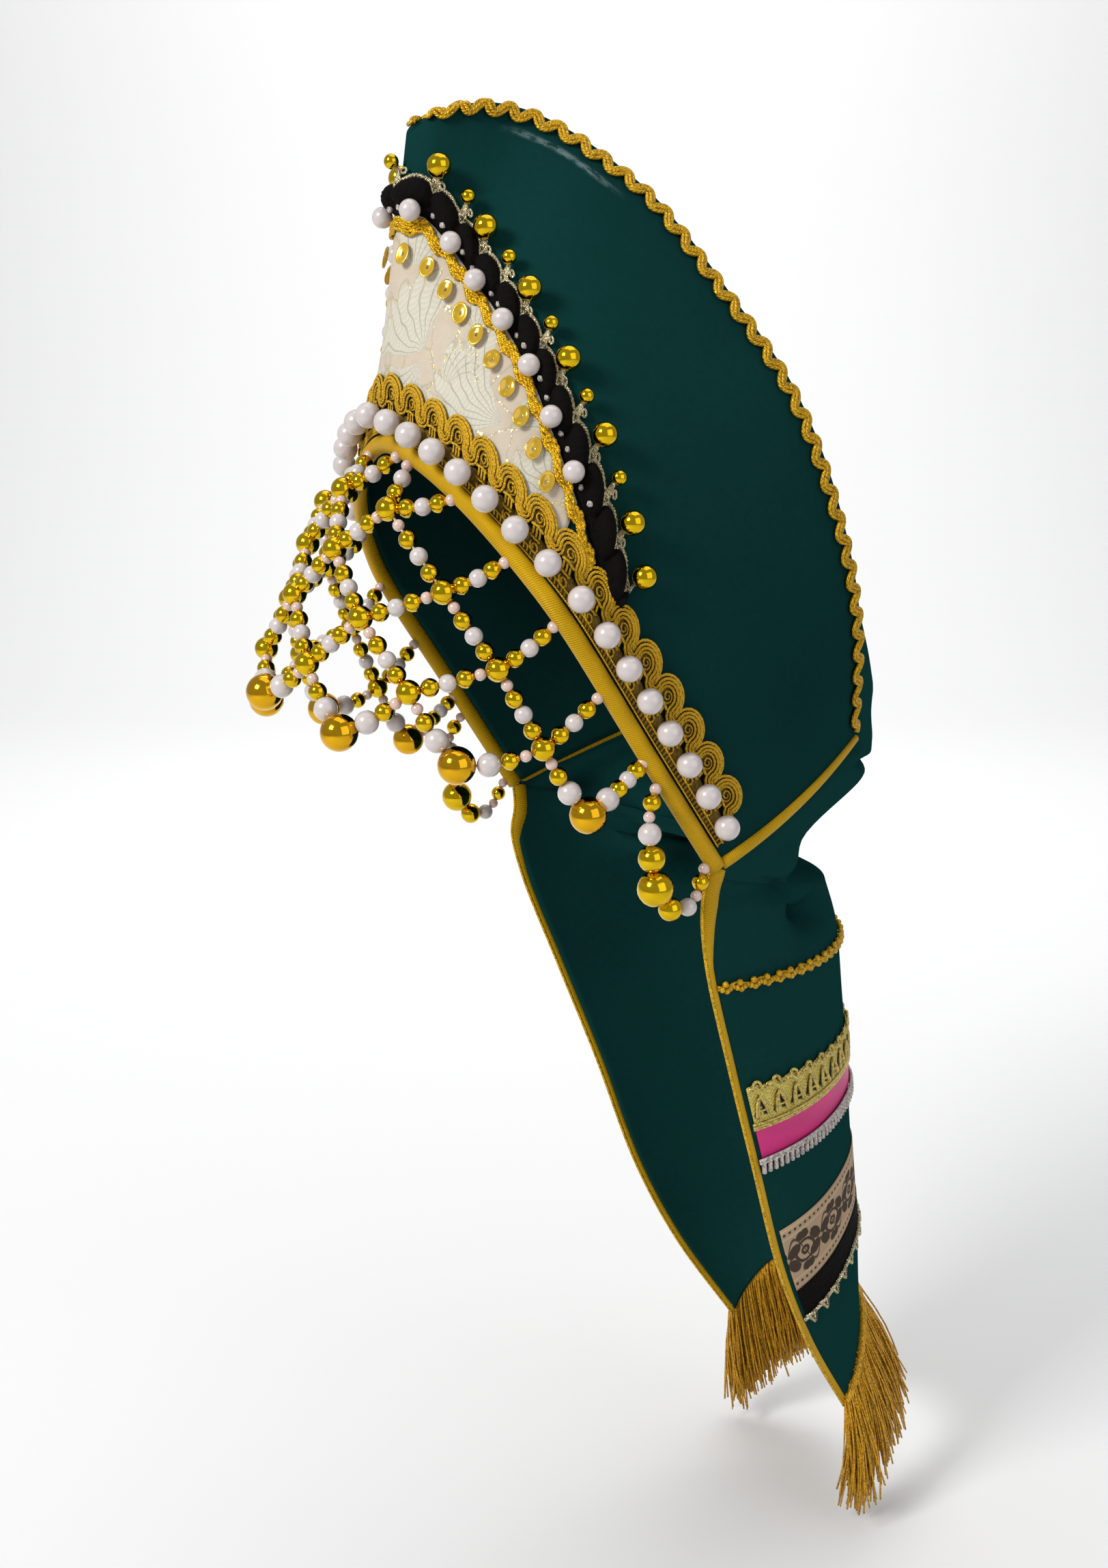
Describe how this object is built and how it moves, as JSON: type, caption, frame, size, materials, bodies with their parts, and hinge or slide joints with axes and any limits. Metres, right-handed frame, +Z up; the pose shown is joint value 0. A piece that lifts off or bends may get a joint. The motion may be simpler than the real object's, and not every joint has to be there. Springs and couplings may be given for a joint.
{
  "type": "kokoshnik headdress",
  "caption": "Tall padded festive headdress with a brocade front, gold and pearl trims, a bead net over the forehead, a soft back and a striped, fringed cloth tail.",
  "frame": {"origin": "midway between the two ear corners of the face edge, where the headdress sits on the head", "axes": "+Z up, -Y towards the wearer's front, +X towards the wearer's left side"},
  "size_m": [0.1742, 0.2762, 0.5575],
  "materials": {
    "green_cloth": "deep green matte cloth",
    "brocade": "cream jacquard with a faint glitter",
    "gold_gimp": "ribbed gold gimp cord",
    "gold_braid": "shiny gold braid",
    "gold_satin": "mustard gold satin",
    "gold_bead": "bright metallic gold, with white pearl beads between",
    "pearl": "pearl lustre",
    "black_lace": "black lace with a light picot edge",
    "pink_satin": "magenta satin",
    "white_cotton": "white stitched trim",
    "beige_ribbon": "beige ribbon with a dark floral pattern",
    "gold_fringe": "gold thread fringe"
  },
  "bodies": {
    "root": {"crown": "green_cloth", "back_cloth": "green_cloth", "tail": "green_cloth", "brocade_panel": "brocade", "forehead_lace": "gold_gimp", "sequin_braid": "gold_braid", "crest_braid": "gold_braid", "tail_binding_left": "gold_braid", "tail_binding_right": "gold_braid", "tail_bobble_braid": "gold_braid", "tail_gold_lace": "gold_braid", "front_binding": "gold_satin", "nape_binding_left": "gold_satin", "nape_binding_right": "gold_satin", "bead_net_left": "gold_bead", "bead_net_right": "gold_bead", "ear_loop_left": "gold_bead", "ear_loop_right": "gold_bead", "forehead_pearl_01": "pearl", "forehead_pearl_02": "pearl", "forehead_pearl_03": "pearl", "forehead_pearl_04": "pearl", "forehead_pearl_05": "pearl", "forehead_pearl_06": "pearl", "forehead_pearl_07": "pearl", "forehead_pearl_08": "pearl", "forehead_pearl_09": "pearl", "forehead_pearl_10": "pearl", "forehead_pearl_11": "pearl", "forehead_pearl_12": "pearl", "forehead_pearl_13": "pearl", "forehead_pearl_14": "pearl", "forehead_pearl_15": "pearl", "forehead_pearl_16": "pearl", "forehead_pearl_17": "pearl", "forehead_pearl_18": "pearl", "forehead_pearl_19": "pearl", "forehead_pearl_20": "pearl", "forehead_pearl_21": "pearl", "forehead_pearl_22": "pearl", "forehead_pearl_23": "pearl", "forehead_pearl_24": "pearl", "forehead_pearl_25": "pearl", "forehead_pearl_26": "pearl", "forehead_pearl_27": "pearl", "forehead_pearl_28": "pearl", "forehead_pearl_29": "pearl", "forehead_pearl_30": "pearl", "forehead_pearl_31": "pearl", "black_lace": "black_lace", "tail_black_lace": "black_lace", "tail_pink_ribbon": "pink_satin", "tail_stitch_trim": "white_cotton", "tail_pattern_ribbon": "beige_ribbon", "fringe": "gold_fringe"}
  },
  "joints": []
}
